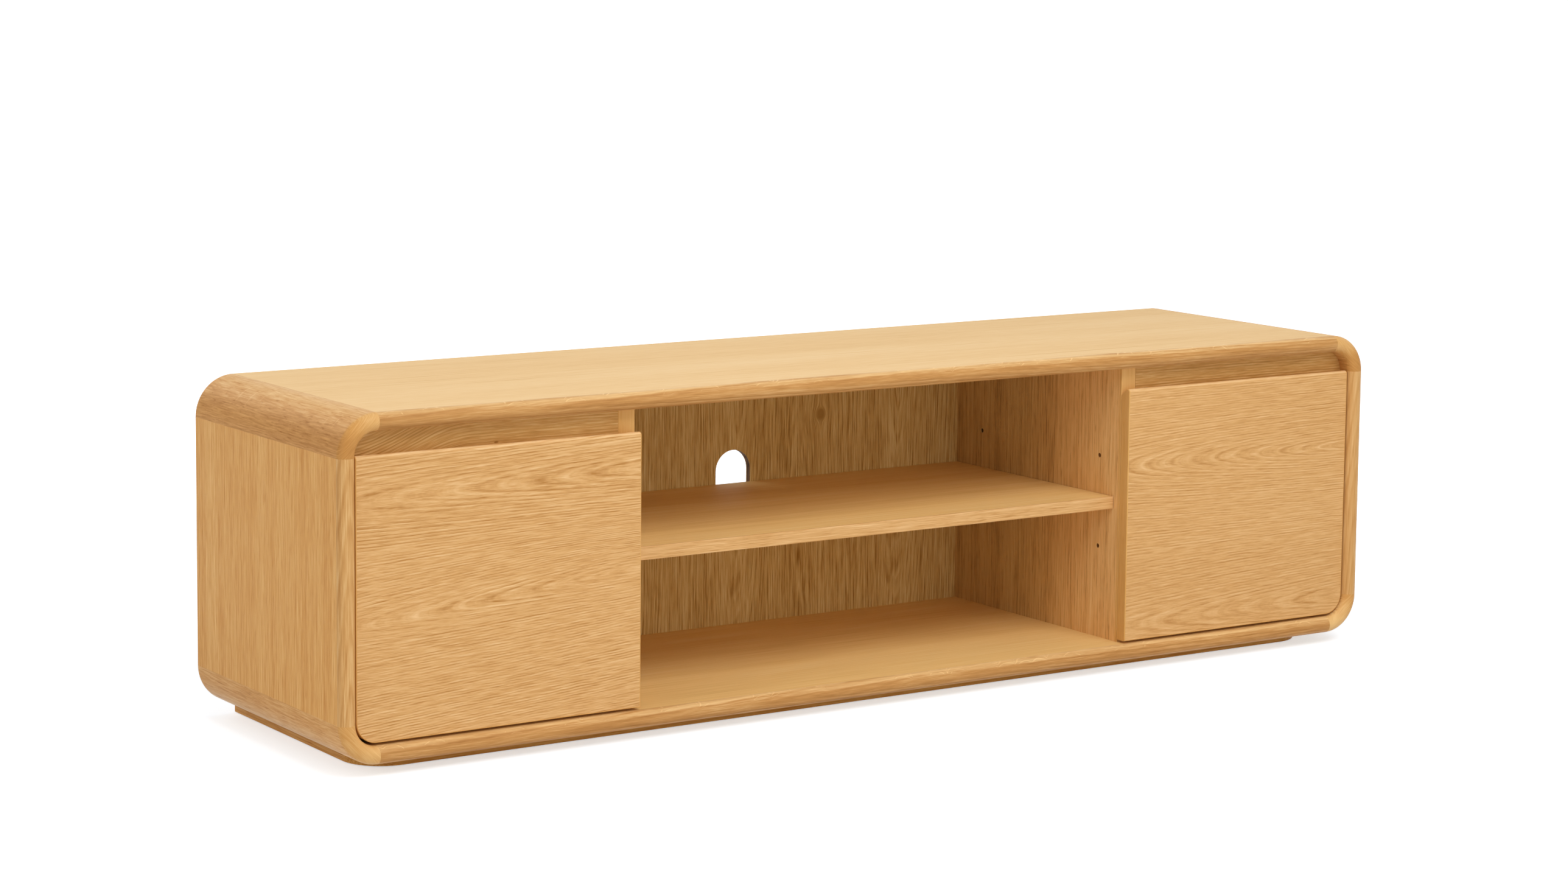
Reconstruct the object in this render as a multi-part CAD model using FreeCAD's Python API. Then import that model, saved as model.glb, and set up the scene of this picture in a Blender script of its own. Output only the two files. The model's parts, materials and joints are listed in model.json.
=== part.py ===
"""Low oak media cabinet: round-cornered carcass, two doors, an open middle bay and a recessed plinth.

Millimetres, +Z up. The origin lies on the floor under the middle of the cabinet. +X runs to the
right of a person facing the doors and +Y runs from the doors to the back. Pieces are made for the
right-hand half, and mirrored for the left.
"""
import FreeCAD
import Part

import math
import os

Vector = FreeCAD.Vector

# ---------------------------------------------------------------- driving dimensions
# Carcass
WIDTH = 1800.0
DEPTH = 450.0
HEIGHT = 490.0
BASE_HEIGHT = 18.0          # floor to the underside of the carcass
BOARD = 25.0                # thickness of the carcass boards, and of their half-round front edge
CORNER_RADIUS = 58.0        # outside radius of the four corner posts

# Dividers and the rails over the doors
BAY_WIDTH = 864.0           # clear width of the open middle bay
DIVIDER = 27.0
DIVIDER_EDGING = 4.0
RAIL_HEIGHT = 60.0
RAIL_THICKNESS = 20.0
RAIL_CORNER_RELIEF = 0.3    # extra radius on the rail's round corner

# Doors
DOOR_THICKNESS = 18.0
DOOR_SETBACK = 10.0         # door face behind the foremost line of the carcass
DOOR_SIDE_GAP = 2.0
DOOR_BOTTOM_GAP = 4.0
FINGER_GAP = 32.0           # underside of the top to the top of a door
DOOR_STOP_GAP = 1.0         # back of a door to the divider and rail
DOOR_EDGING = 1.5
DOOR_LIPPING = 10.0
DOOR_TOP_ROUND = 5.0
DOOR_BEVEL_ANGLE = 40.0     # finger bevel along the back of a door's top edge, in degrees
DOOR_ARRIS = 1.2
BUMPER_DIAMETER = 8.0
BUMPER_THICKNESS = 0.7
BUMPER_INSET = 30.0         # bumper centre to the door's top and bottom

# Back panels
BACK_THICKNESS = 12.0
REBATE = 10.0               # overlap of a back panel on the carcass boards
BACK_CLEARANCE = 0.3
CABLE_SLOT_WIDTH = 64.0
CABLE_SLOT_HEIGHT = 126.0

# Shelves and their pins
SHELF_THICKNESS = 19.0
SHELF_EDGING = 3.0
SHELF_ARRIS = 1.0
SHELF_END_GAP = 1.0
SHELF_BACK_GAP = 1.0
CENTER_SHELF_SETBACK = 13.0
SIDE_SHELF_SETBACK = 25.0
PIN_DIAMETER = 7.0
PIN_DEPTH = 10.0
PIN_REACH = 8.0
PIN_INSET = 78.0            # pin columns to the cabinet's front and back
PIN_SPACING = 70.0
NOTCH_DEPTH = 11.0          # notch under the shelf that drops over a pin
NOTCH_CLEARANCE = 0.2

# Plinth
PLINTH_SIDE_INSET = 57.0
PLINTH_FRONT_INSET = 50.0
PLINTH_RADIUS = 60.0
PLINTH_RAIL = 45.0
PLINTH_SCREW_SHARES = (0.3, 0.8)            # of the way from the middle to the plinth's corners
GLIDE_DIAMETER = 25.0
GLIDE_THICKNESS = 1.5

# Hidden joinery
TONGUE_THICKNESS = 6.0
TONGUE_REACH = 9.5          # into each of the two pieces
TONGUE_END_MARGIN = 20.0
GROOVE_CLEARANCE = 0.5
DOWEL_DIAMETER = 8.0
DOWEL_LENGTH = 35.0
DOWEL_BOARD_DEPTH = 12.0    # part of the dowel that sits in the carcass board
DOWEL_CLEARANCE = 1.0       # free length at each end of a dowel hole
DOWEL_PITCH = 130.0
SCREW_DIAMETER = 3.5
SCREW_HEAD = 7.0
SCREW_LENGTH = 25.0
BAY_SCREW_SHARES = (0.3, 0.85)              # of the way from the middle to a divider
SIDE_SCREW_SHARES = (0.25, 0.75)            # of the way from a divider to the side
BASE_SCREW_DIAMETER = 4.0
BASE_SCREW_HEAD = 8.0
BASE_SCREW_LENGTH = 30.0

# Concealed hinges. Curved leaves about the door's swing axis, one outside the other, bridge from
# the arm on the side panel to the cup in the door.
HINGE_INSET = 80.0          # hinge centre to the door's top and bottom
CUP_DIAMETER = 35.0
CUP_EDGE = 4.0              # wood between the cup and the door's edge
CUP_DEPTH = 12.2
CUP_HOLE_CLEARANCE = 0.1
CUP_BOTTOM_CLEARANCE = 0.3
CUP_WALL = 1.2
CUP_FLANGE = 1.0
CUP_FLANGE_RIM = 1.5
CUP_SCREW_OFFSET = 9.5
CUP_SCREW_SPACING = 45.0
CUP_SCREW_DIAMETER = 3.0
CUP_SCREW_HEAD = 6.0
CUP_SCREW_LENGTH = 11.0
ARM_HEIGHT = 14.0
ARM_LEAF_GAP = 5.4          # back of the door to the arm's leaf, along the leaf's radius
ARM_LEAF_THICKNESS = 1.6
ARM_TIP_GAP = 3.2           # tip of the arm's leaf above the cup's floor, with the door shut
LINK_THICKNESS = 1.5
LINK_CLEARANCE = 0.5        # between one leaf and the next
LINK_HEIGHT = 12.0
LINK_TIP_GAP = 1.7
LINK_SWEEP = 52.0           # degrees
ARM_OFFSET = 3.6            # side panel to the near face of the arm
ARM_THICKNESS = 4.4
ARM_OVERHANG = 2.0          # the arm runs this far past its plate
PLATE_DOOR_GAP = 12.0       # back of the door to the plate
PLATE_THICKNESS = 1.6
PLATE_WING_HEIGHT = 48.0
PLATE_WING_LENGTH = 14.0
PLATE_LENGTH = 44.0
PLATE_SCREW_SPACING = 32.0
PLATE_SCREW_LENGTH = 15.0

# Modelling allowances
TOUCH = 0.01                # two faces this close lie in one plane
PARALLEL = 0.99             # least direction cosine of an edge that runs along an axis
OVERRUN = 1.0               # how far a cutting shape passes the face it cuts

# ---------------------------------------------------------------- derived planes
HALF = WIDTH / 2
FRONT = -DEPTH / 2
BACK = DEPTH / 2
BOTTOM = BASE_HEIGHT
TOP = HEIGHT
MIDDLE = (BOTTOM + TOP) / 2
NOSE = BOARD / 2
BOARD_FRONT = FRONT + NOSE                  # where the flat boards end and the half-round begins
INNER_RADIUS = CORNER_RADIUS - BOARD
INNER_HALF = HALF - BOARD
INNER_BOTTOM = BOTTOM + BOARD
INNER_TOP = TOP - BOARD
PANEL_FRONT = BACK - BACK_THICKNESS         # inside face of the back panels

BAY_HALF = BAY_WIDTH / 2
DIVIDER_OUTER = BAY_HALF + DIVIDER
DIVIDER_CENTER = BAY_HALF + DIVIDER / 2

DOOR_FRONT = FRONT + DOOR_SETBACK
DOOR_BACK = DOOR_FRONT + DOOR_THICKNESS
DOOR_INNER = BAY_HALF
DOOR_OUTER = INNER_HALF - DOOR_SIDE_GAP
DOOR_BOTTOM = INNER_BOTTOM + DOOR_BOTTOM_GAP
DOOR_TOP = INNER_TOP - FINGER_GAP
DOOR_RADIUS = INNER_RADIUS - DOOR_SIDE_GAP
DIVIDER_FRONT = DOOR_BACK + DOOR_STOP_GAP

CORNER_X = HALF - CORNER_RADIUS             # corner centre lines
CORNER_Z = TOP - CORNER_RADIUS

PIN_COLUMNS = (FRONT + PIN_INSET, BACK - PIN_INSET)
PIN_LEVELS = (MIDDLE - PIN_SPACING, MIDDLE, MIDDLE + PIN_SPACING)
SHELF_BOTTOM = MIDDLE + PIN_DIAMETER / 2 - NOTCH_DEPTH

PLINTH_HALF = HALF - PLINTH_SIDE_INSET
PLINTH_FRONT = FRONT + PLINTH_FRONT_INSET
PLINTH_CORNER_X = PLINTH_HALF - PLINTH_RADIUS
PLINTH_CORNER_Y = PLINTH_FRONT + PLINTH_RADIUS
PLINTH_Z = (GLIDE_THICKNESS, BASE_HEIGHT)

# Hinge coordinates: u runs inwards from the door's outer edge, v runs backwards from its face
HINGE_LEVELS = (DOOR_BOTTOM + HINGE_INSET, DOOR_TOP - HINGE_INSET)
CUP_CENTER = CUP_EDGE + CUP_DIAMETER / 2
CUP_BOTTOM = DOOR_THICKNESS - CUP_DEPTH
CUP_FLOOR = CUP_BOTTOM + CUP_WALL
ARM_LEAF_RADIUS = DOOR_THICKNESS + ARM_LEAF_GAP
INNER_LINK_RADIUS = ARM_LEAF_RADIUS + ARM_LEAF_THICKNESS + LINK_CLEARANCE
OUTER_LINK_RADIUS = INNER_LINK_RADIUS + LINK_THICKNESS + LINK_CLEARANCE
ARM_U = (ARM_OFFSET - DOOR_SIDE_GAP, ARM_OFFSET - DOOR_SIDE_GAP + ARM_THICKNESS)
PLATE_START = DOOR_THICKNESS + PLATE_DOOR_GAP


# ---------------------------------------------------------------- helpers
def box(x, y, z):
    """A box from three (low, high) pairs."""
    corner = Vector(x[0], y[0], z[0])
    return Part.makeBox(x[1] - x[0], y[1] - y[0], z[1] - z[0], corner)


def rod_x(radius, x, y, z):
    return Part.makeCylinder(radius, x[1] - x[0], Vector(x[0], y, z), Vector(1, 0, 0))


def rod_y(radius, x, y, z):
    return Part.makeCylinder(radius, y[1] - y[0], Vector(x, y[0], z), Vector(0, 1, 0))


def rod_z(radius, x, y, z):
    return Part.makeCylinder(radius, z[1] - z[0], Vector(x, y, z[0]), Vector(0, 0, 1))


def across(shape):
    """The same shape on the other side of the cabinet."""
    return shape.mirror(Vector(0, 0, 0), Vector(1, 0, 0))


def upside_down(shape):
    """The same shape on the other side of the carcass's mid height."""
    return shape.mirror(Vector(0, 0, MIDDLE), Vector(0, 0, 1))


def four_ways(shape):
    """A shape of the top right quarter, and its copies in the other three quarters."""
    lower = upside_down(shape)
    return [shape, across(shape), lower, across(lower)]


def both_sides(shapes):
    return list(shapes) + [across(shape) for shape in shapes]


def cut_all(shape, tools):
    """The shape less every tool whose box meets it."""
    near = [tool for tool in tools if shape.BoundBox.intersect(tool.BoundBox)]
    if near:
        shape = shape.cut(near)
    return shape


def round_prism(half_width, low, high, radius, y):
    """A slab with an outline like the carcass opening: a rectangle with four round corners."""
    slab = box((-half_width, half_width), y, (low, high))
    corners = [edge for edge in slab.Edges if abs(edge.tangentAt(edge.FirstParameter).y) > PARALLEL]
    return slab.makeFillet(radius, corners)


def countersunk_screw(shank, head, length):
    """A screw with its head's face at the origin, pointing along +Z."""
    head_depth = (head - shank) / 2
    cone = Part.makeCone(head / 2, shank / 2, head_depth)
    return cone.fuse(Part.makeCylinder(shank / 2, length)).removeSplitter()


def placed(shape, position, direction):
    """A copy of a shape made along +Z, turned to a direction and moved to a position."""
    copy = shape.copy()
    turn = FreeCAD.Rotation(Vector(0, 0, 1), Vector(*direction))
    copy.Placement = FreeCAD.Placement(Vector(*position), turn)
    return copy


# ---------------------------------------------------------------- hidden joinery
def corner_joints():
    """Loose tongues between each corner post and its two boards, with the grooves that hold them."""
    y = (DIVIDER_FRONT + RAIL_THICKNESS, PANEL_FRONT - TONGUE_END_MARGIN)
    half = TONGUE_THICKNESS / 2
    top_middle = TOP - NOSE
    side_middle = HALF - NOSE
    tongues = []
    grooves = []
    for reach, shapes in ((TONGUE_REACH, tongues), (TONGUE_REACH + GROOVE_CLEARANCE, grooves)):
        level = box((CORNER_X - reach, CORNER_X + reach), y, (top_middle - half, top_middle + half))
        upright = box((side_middle - half, side_middle + half), y, (CORNER_Z - reach, CORNER_Z + reach))
        shapes += four_ways(level) + four_ways(upright)
    return tongues, grooves


def carcass_dowels():
    """Dowels from the dividers into top and bottom, and from the rails into dividers and sides."""
    radius = DOWEL_DIAMETER / 2
    inside = DOWEL_LENGTH - DOWEL_BOARD_DEPTH
    rail_y = DIVIDER_FRONT + RAIL_THICKNESS / 2
    dowels = []
    holes = []
    for slack, shapes in ((0.0, dowels), (DOWEL_CLEARANCE, holes)):
        outward = DOWEL_BOARD_DEPTH + slack
        inward = inside + slack
        for row in (-1, 0, 1):
            z = (INNER_TOP - inward, INNER_TOP + outward)
            upper = rod_z(radius, DIVIDER_CENTER, row * DOWEL_PITCH, z)
            shapes += four_ways(upper)
        rail_low = INNER_TOP - RAIL_HEIGHT
        for level in (rail_low + RAIL_HEIGHT / 4, rail_low + 3 * RAIL_HEIGHT / 4):
            span = (DIVIDER_OUTER - outward, DIVIDER_OUTER + inward)
            shapes += both_sides([rod_x(radius, span, rail_y, level)])
        side_span = (INNER_HALF - inward, INNER_HALF + outward)
        shapes += both_sides([rod_x(radius, side_span, rail_y, rail_low + RAIL_HEIGHT / 4)])
    return dowels, holes


def pin_holes():
    """Blind holes for shelf pins in the dividers and sides: two columns by three levels."""
    faces = (
        (BAY_HALF, BAY_HALF + PIN_DEPTH),
        (DIVIDER_OUTER - PIN_DEPTH, DIVIDER_OUTER),
        (INNER_HALF, INNER_HALF + PIN_DEPTH),
    )
    holes = []
    for span in faces:
        for column in PIN_COLUMNS:
            for level in PIN_LEVELS:
                holes.append(rod_x(PIN_DIAMETER / 2, span, column, level))
    return both_sides(holes)


def shelf_pins():
    """Four pins for each of the three shelves, all in the middle row of holes."""
    faces = (
        (BAY_HALF - PIN_REACH, BAY_HALF + PIN_DEPTH),
        (DIVIDER_OUTER - PIN_DEPTH, DIVIDER_OUTER + PIN_REACH),
        (INNER_HALF - PIN_REACH, INNER_HALF + PIN_DEPTH),
    )
    pins = []
    for span in faces:
        for column in PIN_COLUMNS:
            pins.append(rod_x(PIN_DIAMETER / 2, span, column, MIDDLE))
    return both_sides(pins)


def back_screws():
    """Countersunk screws through the back panels into the rebates and the dividers' back edges."""
    screw = countersunk_screw(SCREW_DIAMETER, SCREW_HEAD, SCREW_LENGTH)
    rebate_z = INNER_TOP + REBATE / 2
    quarter = (INNER_TOP - INNER_BOTTOM) / 4
    side_width = INNER_HALF - DIVIDER_OUTER
    spots = []
    for share in BAY_SCREW_SHARES:
        spots.append((share * BAY_HALF, rebate_z))
    for share in SIDE_SCREW_SHARES:
        spots.append((DIVIDER_OUTER + share * side_width, rebate_z))
    for x in (BAY_HALF + DIVIDER / 4, DIVIDER_OUTER - DIVIDER / 4, INNER_HALF + REBATE / 2):
        spots.append((x, MIDDLE + quarter))
    screws = []
    for x, z in spots:
        screws += four_ways(placed(screw, (x, BACK, z), (0, -1, 0)))
    return screws


# ---------------------------------------------------------------- carcass
def corner_post():
    """Top right corner: a quarter tube from front to back whose front end is one half-round nose."""
    start = Vector(CORNER_X, BOARD_FRONT, CORNER_Z)
    along = Vector(0, 1, 0)
    length = BACK - BOARD_FRONT
    tube = Part.makeCylinder(CORNER_RADIUS, length, start, along)
    tube = tube.cut(Part.makeCylinder(INNER_RADIUS, length, start, along))
    nose = Part.makeTorus(CORNER_RADIUS - NOSE, NOSE, start, along)
    quarter = box((CORNER_X, HALF), (FRONT, BACK), (CORNER_Z, TOP))
    return tube.fuse(nose).common(quarter).removeSplitter()


def half_round_level():
    """Solid front edge of the top, between the two upper corner posts."""
    rod = rod_x(NOSE, (-CORNER_X, CORNER_X), BOARD_FRONT, TOP - NOSE)
    return rod.common(box((-HALF, HALF), (FRONT, BOARD_FRONT), (INNER_TOP, TOP)))


def half_round_upright():
    """Solid front edge of the right side, between its two corner posts."""
    low = BOTTOM + CORNER_RADIUS
    rod = rod_z(NOSE, HALF - NOSE, BOARD_FRONT, (low, CORNER_Z))
    return rod.common(box((INNER_HALF, HALF), (FRONT, BOARD_FRONT), (low, CORNER_Z)))


def top_rail():
    """Right rail behind the finger gap. Its outer upper corner follows the round carcass corner."""
    rail = box(
        (DIVIDER_OUTER, INNER_HALF),
        (DIVIDER_FRONT, DIVIDER_FRONT + RAIL_THICKNESS),
        (INNER_TOP - RAIL_HEIGHT, INNER_TOP),
    )
    corner = [
        edge
        for edge in rail.Edges
        if edge.CenterOfMass.x > INNER_HALF - TOUCH and edge.CenterOfMass.z > INNER_TOP - TOUCH
    ]
    return rail.makeFillet(INNER_RADIUS + RAIL_CORNER_RELIEF, corner)


def divider():
    """Right divider behind its solid edging."""
    y = (DIVIDER_FRONT + DIVIDER_EDGING, PANEL_FRONT)
    return box((BAY_HALF, DIVIDER_OUTER), y, (INNER_BOTTOM, INNER_TOP))


def divider_edging():
    strip = box(
        (BAY_HALF, DIVIDER_OUTER),
        (DIVIDER_FRONT, DIVIDER_FRONT + DIVIDER_EDGING),
        (INNER_BOTTOM, INNER_TOP),
    )
    return round_front_edges(strip, DIVIDER_FRONT, SHELF_ARRIS, "z")


def round_front_edges(strip, front, radius, axis):
    """The strip with the long edges of its front face rounded."""
    edges = []
    for edge in strip.Edges:
        run = getattr(edge.tangentAt(edge.FirstParameter), axis)
        if abs(edge.CenterOfMass.y - front) < TOUCH and abs(run) > PARALLEL:
            edges.append(edge)
    return strip.makeFillet(radius, edges)


def back_panels():
    """Three back panels in the carcass rebate, which meet on the dividers' centre lines."""
    y = (PANEL_FRONT, BACK)
    grow = REBATE - BACK_CLEARANCE
    sheet = round_prism(
        INNER_HALF + grow, INNER_BOTTOM - grow, INNER_TOP + grow, INNER_RADIUS + grow, y
    )
    z = (BOTTOM, TOP)
    edge = DIVIDER_CENTER - BACK_CLEARANCE / 2
    center = sheet.common(box((-edge, edge), y, z))
    right = sheet.common(box((DIVIDER_CENTER + BACK_CLEARANCE / 2, HALF), y, z))
    return center.cut(cable_slot()), right


def cable_slot():
    """Upright slot with round ends in the middle of the centre back panel."""
    radius = CABLE_SLOT_WIDTH / 2
    y = (PANEL_FRONT - OVERRUN, BACK + OVERRUN)
    low = MIDDLE - CABLE_SLOT_HEIGHT / 2 + radius
    high = MIDDLE + CABLE_SLOT_HEIGHT / 2 - radius
    slot = box((-radius, radius), y, (low, high))
    return slot.fuse([rod_y(radius, 0, y, low), rod_y(radius, 0, y, high)])


def build_carcass(parts, tongues, grooves, dowels, dowel_holes, screws):
    """Boards, posts and front edges, dividers, rails and back panels."""
    rebate = round_prism(
        INNER_HALF + REBATE,
        INNER_BOTTOM - REBATE,
        INNER_TOP + REBATE,
        INNER_RADIUS + REBATE,
        (PANEL_FRONT, BACK),
    )
    cuts = [rebate] + grooves + dowel_holes + screws + pin_holes()

    y = (BOARD_FRONT, BACK)
    top = box((-CORNER_X, CORNER_X), y, (INNER_TOP, TOP))
    side = box((INNER_HALF, HALF), y, (BOTTOM + CORNER_RADIUS, CORNER_Z))
    parts["top_panel"] = [cut_all(top, cuts)]
    parts["bottom_panel"] = [cut_all(upside_down(top), cuts + base_screws())]
    parts["right_side_panel"] = [cut_all(side, cuts)]
    parts["left_side_panel"] = [cut_all(across(side), cuts)]

    names = ("top_right_corner", "top_left_corner", "bottom_right_corner", "bottom_left_corner")
    for name, post in zip(names, four_ways(corner_post())):
        parts[name] = [cut_all(post, cuts)]

    parts["top_front_edge"] = [half_round_level()]
    parts["bottom_front_edge"] = [upside_down(half_round_level())]
    parts["right_front_edge"] = [half_round_upright()]
    parts["left_front_edge"] = [across(half_round_upright())]

    right_divider = cut_all(divider(), cuts)
    right_rail = cut_all(top_rail(), cuts)
    center_back, right_back = back_panels()
    pairs = {
        "divider": right_divider,
        "divider_edging": divider_edging(),
        "top_rail": right_rail,
        "back_panel": cut_all(right_back, screws),
    }
    for name, shape in pairs.items():
        parts["right_" + name] = [shape]
        parts["left_" + name] = [across(shape)]
    parts["center_back_panel"] = [cut_all(center_back, screws)]

    parts["corner_tongues"] = tongues
    parts["carcass_dowels"] = dowels
    parts["back_panel_screws"] = screws


# ---------------------------------------------------------------- shelves
def shelf(x, setback):
    """A shelf board and its solid edging, with notches under both ends for the pins."""
    front = DIVIDER_FRONT + setback
    joint = front + SHELF_EDGING
    z = (SHELF_BOTTOM, SHELF_BOTTOM + SHELF_THICKNESS)
    board = box(x, (joint, PANEL_FRONT - SHELF_BACK_GAP), z)
    edging = round_front_edges(box(x, (front, joint), z), front, SHELF_ARRIS, "x")
    half = PIN_DIAMETER / 2 + NOTCH_CLEARANCE
    reach = PIN_REACH + NOTCH_CLEARANCE
    notches = []
    for column in PIN_COLUMNS:
        y = (column - half, column + half)
        notch_z = (SHELF_BOTTOM, SHELF_BOTTOM + NOTCH_DEPTH)
        notches.append(box((x[0], x[0] + reach), y, notch_z))
        notches.append(box((x[1] - reach, x[1]), y, notch_z))
    return board.cut(notches), edging


def build_shelves(parts):
    center_x = (-BAY_HALF + SHELF_END_GAP, BAY_HALF - SHELF_END_GAP)
    side_x = (DIVIDER_OUTER + SHELF_END_GAP, INNER_HALF - SHELF_END_GAP)
    center, center_edging = shelf(center_x, CENTER_SHELF_SETBACK)
    side, side_edging = shelf(side_x, SIDE_SHELF_SETBACK)
    parts["center_shelf"] = [center]
    parts["center_shelf_edging"] = [center_edging]
    parts["right_shelf"] = [side]
    parts["right_shelf_edging"] = [side_edging]
    parts["left_shelf"] = [across(side)]
    parts["left_shelf_edging"] = [across(side_edging)]
    parts["shelf_pins"] = shelf_pins()


# ---------------------------------------------------------------- plinth
def plinth_corner():
    """Right front corner of the plinth: a quarter of a ring, as wide as the rails."""
    height = PLINTH_Z[1] - PLINTH_Z[0]
    start = Vector(PLINTH_CORNER_X, PLINTH_CORNER_Y, PLINTH_Z[0])
    ring = Part.makeCylinder(PLINTH_RADIUS, height, start)
    ring = ring.cut(Part.makeCylinder(PLINTH_RADIUS - PLINTH_RAIL, height, start))
    quarter = box((PLINTH_CORNER_X, PLINTH_HALF), (PLINTH_FRONT, PLINTH_CORNER_Y), PLINTH_Z)
    return ring.common(quarter)


def base_screws():
    """Screws from under the plinth up into the bottom board."""
    screw = countersunk_screw(BASE_SCREW_DIAMETER, BASE_SCREW_HEAD, BASE_SCREW_LENGTH)
    rail_middle = PLINTH_RAIL / 2
    ring_middle = (PLINTH_RADIUS - rail_middle) * math.sqrt(0.5)
    spots = [
        (PLINTH_CORNER_X + ring_middle, PLINTH_CORNER_Y - ring_middle),
        (PLINTH_HALF - rail_middle, 0.0),
        (PLINTH_HALF - rail_middle, BACK - 2 * PLINTH_RAIL),
        (DIVIDER_CENTER, -DOWEL_PITCH / 2),
        (DIVIDER_CENTER, DOWEL_PITCH / 2),
    ]
    for share in PLINTH_SCREW_SHARES:
        spots.append((share * PLINTH_CORNER_X, PLINTH_FRONT + rail_middle))
        spots.append((share * PLINTH_CORNER_X, BACK - rail_middle))
    screws = [placed(screw, (x, y, GLIDE_THICKNESS), (0, 0, 1)) for x, y in spots]
    return both_sides(screws)


def floor_glides():
    """Felt discs under the plinth: three along the front, three along the back, two in between."""
    rail_middle = PLINTH_RAIL / 2
    z = (0.0, GLIDE_THICKNESS)
    radius = GLIDE_DIAMETER / 2
    front_y = PLINTH_FRONT + rail_middle
    back_y = BACK - rail_middle
    glides = [rod_z(radius, 0.0, front_y, z), rod_z(radius, 0.0, back_y, z)]
    spots = [
        (PLINTH_CORNER_X - GLIDE_DIAMETER, front_y),
        (PLINTH_HALF - rail_middle, back_y),
        (DIVIDER_CENTER, 0.0),
    ]
    glides += both_sides([rod_z(radius, x, y, z) for x, y in spots])
    return glides


def build_plinth(parts):
    screws = base_screws()
    inner_front = PLINTH_FRONT + PLINTH_RAIL
    inner_back = BACK - PLINTH_RAIL
    inner_half = PLINTH_HALF - PLINTH_RAIL
    cross_half = PLINTH_RAIL / 2
    front = box((-PLINTH_CORNER_X, PLINTH_CORNER_X), (PLINTH_FRONT, inner_front), PLINTH_Z)
    rear = box((-inner_half, inner_half), (inner_back, BACK), PLINTH_Z)
    side = box((inner_half, PLINTH_HALF), (PLINTH_CORNER_Y, BACK), PLINTH_Z)
    cross_x = (DIVIDER_CENTER - cross_half, DIVIDER_CENTER + cross_half)
    cross = box(cross_x, (inner_front, inner_back), PLINTH_Z)

    parts["plinth_front_rail"] = [cut_all(front, screws)]
    parts["plinth_back_rail"] = [cut_all(rear, screws)]
    parts["plinth_right_rail"] = [cut_all(side, screws)]
    parts["plinth_left_rail"] = [cut_all(across(side), screws)]
    parts["plinth_right_corner"] = [cut_all(plinth_corner(), screws)]
    parts["plinth_left_corner"] = [cut_all(across(plinth_corner()), screws)]
    parts["plinth_cross_rails"] = [cut_all(rail, screws) for rail in both_sides([cross])]
    parts["plinth_screws"] = screws
    parts["floor_glides"] = floor_glides()


# ---------------------------------------------------------------- doors
def door_profile():
    """Section of a door across its thickness: round front top edge and a finger bevel behind it."""
    slope = math.radians(DOOR_BEVEL_ANGLE)
    radius = DOOR_TOP_ROUND
    center_y = DOOR_FRONT + radius
    center_z = DOOR_TOP - radius
    tangent_y = center_y + radius * math.sin(slope)
    tangent_z = center_z + radius * math.cos(slope)
    back_z = tangent_z - (DOOR_BACK - tangent_y) * math.tan(slope)
    middle_turn = (math.pi / 2 + slope) / 2
    arc_middle = Vector(
        DOOR_INNER,
        center_y - radius * math.cos(middle_turn),
        center_z + radius * math.sin(middle_turn),
    )
    front_low = Vector(DOOR_INNER, DOOR_FRONT, DOOR_BOTTOM)
    front_high = Vector(DOOR_INNER, DOOR_FRONT, center_z)
    crest = Vector(DOOR_INNER, tangent_y, tangent_z)
    back_high = Vector(DOOR_INNER, DOOR_BACK, back_z)
    back_low = Vector(DOOR_INNER, DOOR_BACK, DOOR_BOTTOM)
    edges = [
        Part.makeLine(front_low, front_high),
        Part.Arc(front_high, arc_middle, crest).toShape(),
        Part.makeLine(crest, back_high),
        Part.makeLine(back_high, back_low),
        Part.makeLine(back_low, front_low),
    ]
    return Part.Face(Part.Wire(edges))


def door_outline(margin, y, top):
    """The door's front outline as a slab: square inner corner, round outer corner at the bottom."""
    slab = box((DOOR_INNER + margin, DOOR_OUTER - margin), y, (DOOR_BOTTOM + margin, top))
    corner = [
        edge
        for edge in slab.Edges
        if edge.CenterOfMass.x > DOOR_OUTER - margin - TOUCH
        and edge.CenterOfMass.z < DOOR_BOTTOM + margin + TOUCH
    ]
    return slab.makeFillet(DOOR_RADIUS - margin, corner)


def door_blank():
    """The whole right door: outline, top profile and softened front arrises."""
    thickness = (DOOR_FRONT, DOOR_BACK)
    bar = door_profile().extrude(Vector(DOOR_OUTER - DOOR_INNER, 0, 0))
    blank = door_outline(0.0, thickness, DOOR_TOP).common(bar).removeSplitter()
    rim = []
    for edge in blank.Edges:
        on_face = edge.BoundBox.YMax < DOOR_FRONT + TOUCH
        top_line = edge.BoundBox.ZMin > DOOR_TOP - DOOR_TOP_ROUND - TOUCH
        if on_face and not top_line:
            rim.append(edge)
    return blank.makeFillet(DOOR_ARRIS, rim)


def door_pieces():
    """The right door as a panel, the solid strip along its top and the edging round the rest."""
    blank = door_blank()
    room = (DOOR_FRONT - OVERRUN, DOOR_BACK + OVERRUN)
    core = blank.common(door_outline(DOOR_EDGING, room, DOOR_TOP + OVERRUN))
    edging = blank.cut(core)
    joint = DOOR_TOP - DOOR_LIPPING
    x = (DOOR_INNER, DOOR_OUTER)
    lipping = core.common(box(x, room, (joint, DOOR_TOP)))
    panel = core.common(box(x, room, (DOOR_BOTTOM, joint)))
    return panel, lipping, edging


def door_bumpers():
    """Two soft dots on the door's back that meet the divider's edging."""
    y = (DOOR_BACK, DOOR_BACK + BUMPER_THICKNESS)
    levels = (DOOR_BOTTOM + BUMPER_INSET, DOOR_TOP - BUMPER_INSET)
    return [rod_y(BUMPER_DIAMETER / 2, DIVIDER_CENTER, y, level) for level in levels]


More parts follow.
